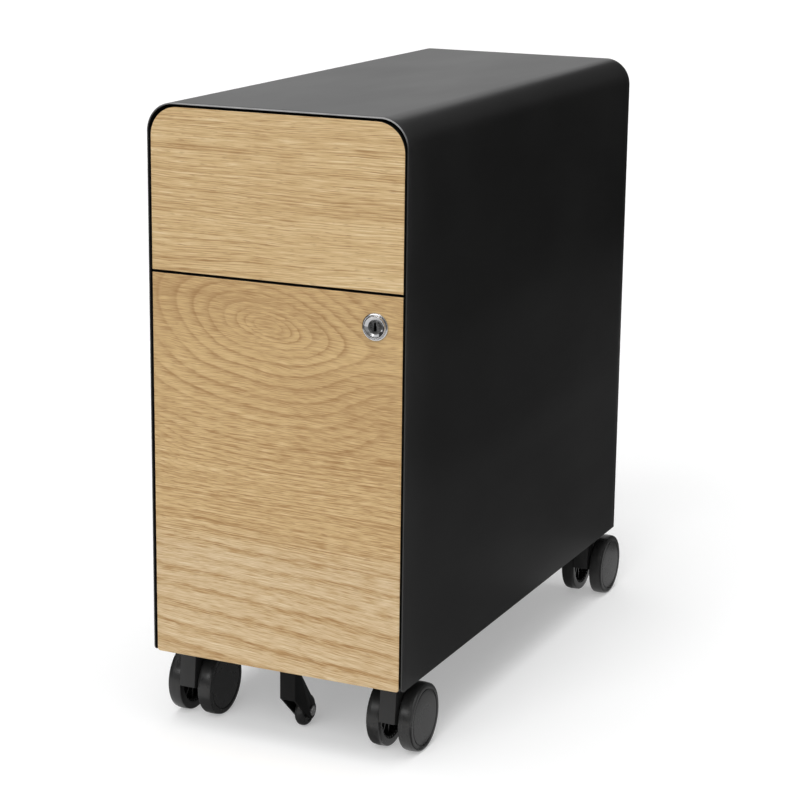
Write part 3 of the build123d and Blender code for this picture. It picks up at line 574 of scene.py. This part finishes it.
def mould_wheel(node, side, ribs):
    """A caster wheel: rounded tread, a cap set in a groove, hub and ribs inside."""
    low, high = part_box(node)
    width, radius = high.x - low.x, (high.z - low.z) / 2
    inner = low.x if side > 0 else high.x
    axle = Vector((inner, (low.y + high.y) / 2, (low.z + high.z) / 2))
    cap, web, rim, hub, bore = radius - 6.0 * MM, 4 * MM, 7.5 * MM, 8 * MM, 3.05 * MM
    groove, dome = 0.55 * MM, 0.25 * MM
    outline = [Vector((width - dome * (r / 4) ** 2, cap * r / 4)) for r in range(4)]
    outline += eased([
        (width - dome * 0.9, cap * 0.86, 0),
        (width - dome, cap - groove, 0.35 * MM),
        (width - 1.1 * MM, cap - groove * 0.6, 0.15 * MM),
        (width - 1.1 * MM, cap + groove * 0.6, 0.15 * MM),
        (width, cap + groove, 0.5 * MM),
        (width, radius - 0.6 * MM, 2.0 * MM),
        (width * 0.66, radius, 6 * MM),
        (width * 0.3, radius, 0),
        (0, radius - 0.3 * MM, 1.1 * MM),
        (0, radius - rim, 0.5 * MM),
        (width - web, radius - rim, 0.6 * MM),
        (width - web, hub, 0.6 * MM),
        (0, hub, 0.4 * MM),
        (0, bore, 0),
        (width - 3 * MM, bore, 0),
        (width - 3 * MM, 0, 0),
    ])

    def tread(way, out):
        return max(0.0, 1 - abs(way / width - 0.5) / 0.42) if out > radius - 1 * MM else 0.0

    piece = new_piece(node + "_moulded", turned(outline, axle, (side, 0, 0), tread=tread))
    set_in, tooth = 5 * MM, Vector((4, 1.2, 2.2)) * MM
    follow(piece, ribs, {
        "Rib centre": (inner + side * (set_in + width - web) / 2, axle.y, axle.z),
        "Ribs": 10,
        "Rib radius": (hub + radius - rim) / 2,
        "Rib size": (width - web - set_in + 0.4 * MM, 1.6 * MM, radius - rim - hub + 0.8 * MM),
        "Tooth centre": (inner + side * (0.8 * MM + tooth.x / 2), axle.y, axle.z),
        "Teeth": 36,
        "Tooth radius": radius - rim - tooth.z / 2 + 0.3 * MM,
        "Tooth size": tooth,
        "Finish": finishes["wheel_plastic"],
    }, 32)
    hand_over(piece, node)


ribs = wheel_recipe()
for caster in casters:
    for side_name, side in sides.items():
        mould_wheel(f"{caster}_caster_{side_name}_wheel", side, ribs)
    fork = f"{caster}_caster_fork"
    softened(fork, fork + "_moulded", 1.1 * MM, finishes["fork_plastic"], 3)


# Lock

def turn_bezel():
    """The lock's housing: a rounded flange, a step, a crest and a funnel down to the plug."""
    node = "lock_housing"
    low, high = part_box(node)
    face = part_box("lower_front")[0].y
    proud, tail = face - low.y, face - high.y
    flange, body = (high.x - low.x) / 2, 9.5 * MM
    head, neck = 6.65 * MM, 5.45 * MM
    funnel, seat = proud - 1.75 * MM, proud - 9.85 * MM
    outline = eased([
        (tail, neck, 0),
        (seat, neck, 0),
        (seat, head, 0),
        (funnel, head, 0.15 * MM),
        (proud - 0.35 * MM, 8.9 * MM, 0.5 * MM),
        (proud, 9.5 * MM, 0.3 * MM),
        (proud, 10.2 * MM, 0.35 * MM),
        (1.35 * MM, 10.75 * MM, 0.25 * MM),
        (1.65 * MM, 11.4 * MM, 0.4 * MM),
        (1.35 * MM, flange, 0.45 * MM),
        (0, flange, 0),
        (0, body, 0),
        (tail, body, 0.4 * MM),
        (tail, neck, 0),
    ])
    form = turned(outline, (lock_axis[0], face, lock_axis[1]), (0, -1, 0), 96)
    piece = new_piece("lock_housing_turned", form)
    settle(piece, 28)
    hand_over(piece, node, finishes["lock_chrome"])


turn_bezel()
softened("lock_plug", "lock_plug_cut", 0.16 * MM, finishes["lock_steel"], 2, 50)
softened("lock_nut", "lock_nut_cut", 0.3 * MM, finishes["zinc_plate"], 2, 50)
softened("lock_cam", "lock_cam_pressed", 0.3 * MM, finishes["zinc_plate"], 2, 50)


# Anti-tip wheel

def mould_tip_wheel():
    """The small roller under the file drawer, crowned like a tyre."""
    node = "anti_tip_wheel"
    low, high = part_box(node)
    half, radius, bore = (high.x - low.x) / 2, (high.z - low.z) / 2, 2.55 * MM
    middle = Vector(((low.x + high.x) / 2, (low.y + high.y) / 2, (low.z + high.z) / 2))
    outline = eased([
        (-half, bore, 0),
        (-half, 6.0 * MM, 0.3 * MM),
        (-half + 0.8 * MM, 7.0 * MM, 0.3 * MM),
        (-half + 0.8 * MM, 10.0 * MM, 0.3 * MM),
        (-half, 11.0 * MM, 0.4 * MM),
        (-half, radius, 4.2 * MM),
        (0, radius, 0),
        (half, radius, 4.2 * MM),
        (half, 11.0 * MM, 0.4 * MM),
        (half - 0.8 * MM, 10.0 * MM, 0.3 * MM),
        (half - 0.8 * MM, 7.0 * MM, 0.3 * MM),
        (half, 6.0 * MM, 0.3 * MM),
        (half, bore, 0),
        (-half, bore, 0),
    ])

    def tread(way, out):
        return 1.0 if out > radius - 2 * MM else 0.0

    piece = new_piece("anti_tip_wheel_moulded", turned(outline, middle, (1, 0, 0), 64, tread))
    settle(piece, 32)
    hand_over(piece, node, finishes["wheel_plastic"])


def turn_tip_rivet():
    """The anti-tip wheel's rivet, with domed heads."""
    node = "anti_tip_axle"
    low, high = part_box(node)
    half, head = (high.x - low.x) / 2, (high.z - low.z) / 2
    middle = Vector(((low.x + high.x) / 2, (low.y + high.y) / 2, (low.z + high.z) / 2))
    seat, pin = half - 1.6 * MM, 2.5 * MM
    dome = [Vector((half - 1.2 * MM * (1 - math.cos(t)), head * math.sin(t) / math.sin(1.2)))
            for t in (0, 0.2, 0.4, 0.6, 0.8, 1.0, 1.2)]
    right = dome + [Vector((seat, head)), Vector((seat, pin))]
    outline = right + [Vector((-way, out)) for way, out in reversed(right)]
    piece = new_piece("anti_tip_axle_riveted", turned(outline, middle, (1, 0, 0), 40))
    settle(piece, 32)
    hand_over(piece, node, finishes["axle_steel"])


mould_tip_wheel()
turn_tip_rivet()
# Darker than the case's black paint: the fork's own black with painted shade for the shadow it stands in
# under the cabinet.
tip_black_and_shade = moulded("tip_fork_black", 0.004, 0.006, 0.42, 1800, 1.22)[0]
softened("anti_tip_fork", "anti_tip_fork_pressed", 0.5 * MM, tip_black_and_shade, 3)


# Screws

screw_head_radius = 4 * MM
screw_head_height = 2.2 * MM


def screw_pattern():
    """One pan-head screw with a cross recess, standing on the origin with its head up."""
    form = bmesh.new()
    steps, head, pin, height = 32, screw_head_radius, 2 * MM, screw_head_height
    shares = (0.22, 0.42, 0.6, 0.78, 0.92, 1.0)
    rings = []
    for share in shares:
        ring = []
        for k in range(steps):
            turn = 2 * math.pi * k / steps
            x, y = head * share * math.cos(turn), head * share * math.sin(turn)
            top = height * (1 - 0.45 * share**3)
            sunk = min(abs(x), abs(y)) < 0.55 * MM and share < 0.65
            ring.append(form.verts.new((x, y, top - (1.3 * MM if sunk else 0))))
        rings.append(ring)
    for out, z in ((head, 0), (pin, 0), (pin, -2 * MM)):
        rings.append([form.verts.new((out * math.cos(2 * math.pi * k / steps),
                                      out * math.sin(2 * math.pi * k / steps), z)) for k in range(steps)])
    centre = form.verts.new((0, 0, height - 1.5 * MM))
    for k in range(steps):
        form.faces.new((centre, rings[0][k], rings[0][(k + 1) % steps]))
    for first, second in zip(rings, rings[1:]):
        for k in range(steps):
            form.faces.new((first[k], second[k], second[(k + 1) % steps], first[(k + 1) % steps]))
    form.faces.new(reversed(rings[-1]))
    bmesh.ops.recalc_face_normals(form, faces=form.faces)
    piece = new_piece("screw_pattern", form)
    settle(piece, 30)
    return piece


def screw_recipe():
    """A screw driven at every seat, its head along one direction."""
    tree, inputs, result = new_recipe(
        "driven_screws", ("Screw", "Object"), ("Head", "Vector"), ("Finish", "Material"))
    screw = add(tree, "GeometryNodeObjectInfo", {"Object": inputs["Screw"]}).outputs["Geometry"]
    turn = add(tree, "FunctionNodeAlignRotationToVector", {"Vector": inputs["Head"]}, axis="Z")
    driven = add(tree, "GeometryNodeInstanceOnPoints", {
        "Points": inputs["Geometry"], "Instance": screw, "Rotation": turn.outputs[0]}).outputs[0]
    finished_with(tree, driven, result, inputs["Finish"])
    return tree


def drive_screws(node, seats, head, screw, recipe):
    form = bmesh.new()
    for seat in seats:
        form.verts.new(seat)
    piece = new_piece(node + "_driven", form)
    follow(piece, recipe, {"Screw": screw, "Head": head, "Finish": finishes["zinc_plate"]}, 30)
    hand_over(piece, node)


screw, driving = screw_pattern(), screw_recipe()
for drawer in drawers:
    low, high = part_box(f"{drawer}_front_screws")
    seats = [(x, high.y - screw_head_height, z)
             for x in (low.x + screw_head_radius, high.x - screw_head_radius)
             for z in (low.z + screw_head_radius, high.z - screw_head_radius)]
    drive_screws(f"{drawer}_front_screws", seats, (0, 1, 0), screw, driving)
low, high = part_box("anti_tip_screws")
seats = [(x, y, high.z - screw_head_height)
         for x in (low.x + screw_head_radius, high.x - screw_head_radius)
         for y in (low.y + screw_head_radius, high.y - screw_head_radius)]
drive_screws("anti_tip_screws", seats, (0, 0, 1), screw, driving)
bpy.data.objects.remove(screw)


# Ball slides

def cage_recipe():
    """Balls strung along every loose edge of a cage's strips."""
    tree, inputs, result = new_recipe(
        "ball_rows", ("Balls", "Int"), ("Ball radius", "Float"), ("Finish", "Material"))
    faces = add(tree, "GeometryNodeInputMeshEdgeNeighbors").outputs[0]
    loose = add(tree, "FunctionNodeCompare", data_type="INT", operation="EQUAL")
    tree.links.new(faces, loose.inputs[2])
    parts = add(tree, "GeometryNodeSeparateGeometry", {
        "Geometry": inputs["Geometry"], "Selection": loose.outputs[0]}, domain="EDGE")
    rows = add(tree, "GeometryNodeMeshToCurve", {"Mesh": parts.outputs[0]}).outputs[0]
    strung = add(tree, "GeometryNodeResampleCurve", {"Curve": rows, "Count": inputs["Balls"]}).outputs[0]
    ball = add(tree, "GeometryNodeMeshUVSphere", {
        "Segments": 10, "Rings": 6, "Radius": inputs["Ball radius"]}).outputs[0]
    balls = add(tree, "GeometryNodeInstanceOnPoints", {"Points": strung, "Instance": ball}).outputs[0]
    both = add(tree, "GeometryNodeJoinGeometry")
    tree.links.new(balls, both.inputs[0])
    tree.links.new(parts.outputs[1], both.inputs[0])
    finished_with(tree, both.outputs[0], result, inputs["Finish"])
    return tree


def string_cages(node, recipe):
    """Two pressed strips with flanges, and the rows of balls that they carry."""
    low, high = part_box(node)
    middle = (low.z + high.z) / 2
    ball, sheet, row_end = 1.6 * MM, 0.6 * MM, 8 * MM
    half = high.z - middle - ball
    form = bmesh.new()
    web = high.x
    lip = min(abs(v.co.x) for v in nodes[node].data.vertices)
    for side in sides.values():
        fold = [(lip, half), (web - sheet, half), (web - sheet / 2, half - 0.6 * MM),
                (web - sheet / 2, -half + 0.6 * MM), (web - sheet, -half), (lip, -half)]
        rows = [[form.verts.new((side * x, y, middle + z)) for x, z in fold] for y in (low.y, high.y)]
        for k in range(len(fold) - 1):
            form.faces.new((rows[0][k], rows[0][k + 1], rows[1][k + 1], rows[1][k]))
    bmesh.ops.recalc_face_normals(form, faces=form.faces)
    bmesh.ops.solidify(form, geom=list(form.faces), thickness=sheet)
    for side in sides.values():
        for z in (-half, half):
            depth = lip + ball + 0.6 * MM
            reach = (low.y + row_end, high.y - row_end)
            form.edges.new([form.verts.new((side * depth, y, middle + z)) for y in reach])
    piece = new_piece(node + "_strung", form)
    follow(piece, recipe, {"Balls": 12, "Ball radius": ball, "Finish": finishes["zinc_plate"]}, 40)
    hand_over(piece, node)


strings = cage_recipe()
for drawer in drawers:
    for stage in ("outer", "inner"):
        string_cages(f"{drawer}_{stage}_ball_cages", strings)


# Floor, light and camera

def seen_share(tree):
    """One for rays from the camera, mirrors and glass, and nothing for light that falls on things."""
    rays = add(tree, "ShaderNodeLightPath").outputs
    share = maths(tree, "MAXIMUM", rays["Is Camera Ray"], rays["Is Glossy Ray"])
    return maths(tree, "MAXIMUM", share, rays["Is Transmission Ray"])


def lay_floor():
    """A white floor that glows a little to the eye, so that only the shadows show on it."""
    finish = bpy.data.materials.new("studio_floor")
    finish.use_nodes = True
    tree = finish.node_tree
    shader = tree.nodes["Principled BSDF"]
    shader.inputs["Roughness"].default_value = 1.0
    shader.inputs["Specular IOR Level"].default_value = 0.0
    shader.inputs["Emission Color"].default_value = (1, 1, 1, 1)
    place = add(tree, "ShaderNodeTexCoord").outputs["Object"]
    tone = tones(tree, noise(tree, place, (3, 3, 3)), (0.3, grey(0.71)), (0.7, grey(0.73)))
    glow = maths(tree, "MULTIPLY", seen_share(tree), 0.33)
    join(tree, shader, Base_Color=tone, Emission_Strength=glow)
    form = bmesh.new()
    bmesh.ops.create_grid(form, x_segments=8, y_segments=8, size=30)
    floor = new_piece("studio_floor", form)
    floor.data.materials.append(finish)


def along_depth(x, front, rear, low, high):
    """The corners of a card that stands at x."""
    return (x, front, low), (x, rear, low), (x, rear, high), (x, front, high)


def along_width(y, left, right, low, high):
    """The corners of a card that stands at y."""
    return (left, y, low), (right, y, low), (right, y, high), (left, y, high)


def lying(z, left, right, front, rear):
    """The corners of a card that lies flat at z."""
    return (left, front, z), (right, front, z), (right, rear, z), (left, rear, z)


def hang_card(name, corners, level):
    """A card that only mirrors see, to shape the reflections."""
    finish = bpy.data.materials.new(name)
    finish.use_nodes = True
    tree = finish.node_tree
    tree.nodes.remove(tree.nodes["Principled BSDF"])
    glow = add(tree, "ShaderNodeEmission", {"Color": (*grey(level), 1)})
    tree.links.new(glow.outputs[0], tree.nodes["Material Output"].inputs["Surface"])
    form = bmesh.new()
    form.faces.new([form.verts.new(corner) for corner in corners])
    card = new_piece(name, form)
    card.data.materials.append(finish)
    card.visible_camera = card.visible_diffuse = card.visible_shadow = False
    card.visible_transmission = card.visible_volume_scatter = False


def light_studio():
    """A white room with a broad light from the front and another from above."""
    world = bpy.data.worlds.new("studio")
    bpy.context.scene.world = world
    world.use_nodes = True
    tree = world.node_tree
    level = between(tree, seen_share(tree), 0, 1, 0.36, 1.0)
    tree.links.new(level, tree.nodes["Background"].inputs["Strength"])
    tree.nodes["Background"].inputs["Color"].default_value = (1, 1, 1, 1)
    for name, energy, spread, source in (
        ("key_light", 1.40, 40, (0.05, -0.90, 0.75)),
        ("top_light", 1.30, 40, (0.0, -0.15, 1.0)),
    ):
        sun = bpy.data.lights.new(name, "SUN")
        sun.energy = energy
        sun.angle = math.radians(spread)
        lamp = bpy.data.objects.new(name, sun)
        lamp.rotation_euler = Vector(source).to_track_quat("Z", "Y").to_euler()
        bpy.context.scene.collection.objects.link(lamp)


def set_camera():
    """The camera as fitted to the photograph's edges."""
    view = bpy.data.cameras.new("photo_view")
    view.lens = 105.395
    view.sensor_width = 36
    view.sensor_fit = "HORIZONTAL"
    camera = bpy.data.objects.new("photo_view", view)
    right = Vector((0.908813, 0.417034, 0.011916))
    up = Vector((-0.11251, 0.217482, 0.969558))
    back = Vector((0.401747, -0.882487, 0.244571))
    turn = Matrix((right, up, back)).transposed().to_4x4()
    camera.matrix_world = Matrix.Translation((0.9558, -2.12515, 0.8575)) @ turn
    bpy.context.scene.collection.objects.link(camera)
    bpy.context.scene.camera = camera


lay_floor()
light_studio()
set_camera()
for name, level, corners in (
    ("side_low_card", 0.08, along_depth(0.2, -0.24, 1.1, -0.01, 0.22)),
    ("side_middle_card", 0.04, along_depth(0.2, -0.24, 1.1, 0.22, 0.36)),
    ("side_high_card", 0.02, along_depth(0.2, -0.24, 1.1, 0.36, 0.62)),
    ("side_floor_card", 0.12, lying(0.001, 0.131, 0.2, -0.36, 1.1)),
    ("front_wheel_card", 0.50, lying(0.002, 0.135, 0.2, -0.27, -0.10)),
    ("rear_wheel_card", 0.50, lying(0.002, 0.135, 0.2, 0.24, 0.42)),
    ("under_card", 0.14, lying(0.001, -0.12, 0.09, -0.30, 0.28)),
    ("back_left_card", 0.60, along_width(2, -3, -0.25, 0, 3)),
    ("back_right_card", 0.04, along_width(2, -0.25, 2, 0, 2.5)),
    ("front_card", 0.12, along_width(-1.7, -2.6, 0.9, 0, 2.0)),
    ("front_right_card", 0.45, along_width(-1.7, 0.9, 2.4, 0, 2.0)),
    ("left_card", 0.05, along_depth(-1.0, -1.7, 0.6, 0, 1.0)),
    ("strip_card", 5, along_width(-1.5, -0.8, -0.2, 0.58, 0.85)),
):
    hang_card(name, corners, level)
bpy.context.scene.view_settings.view_transform = "Standard"
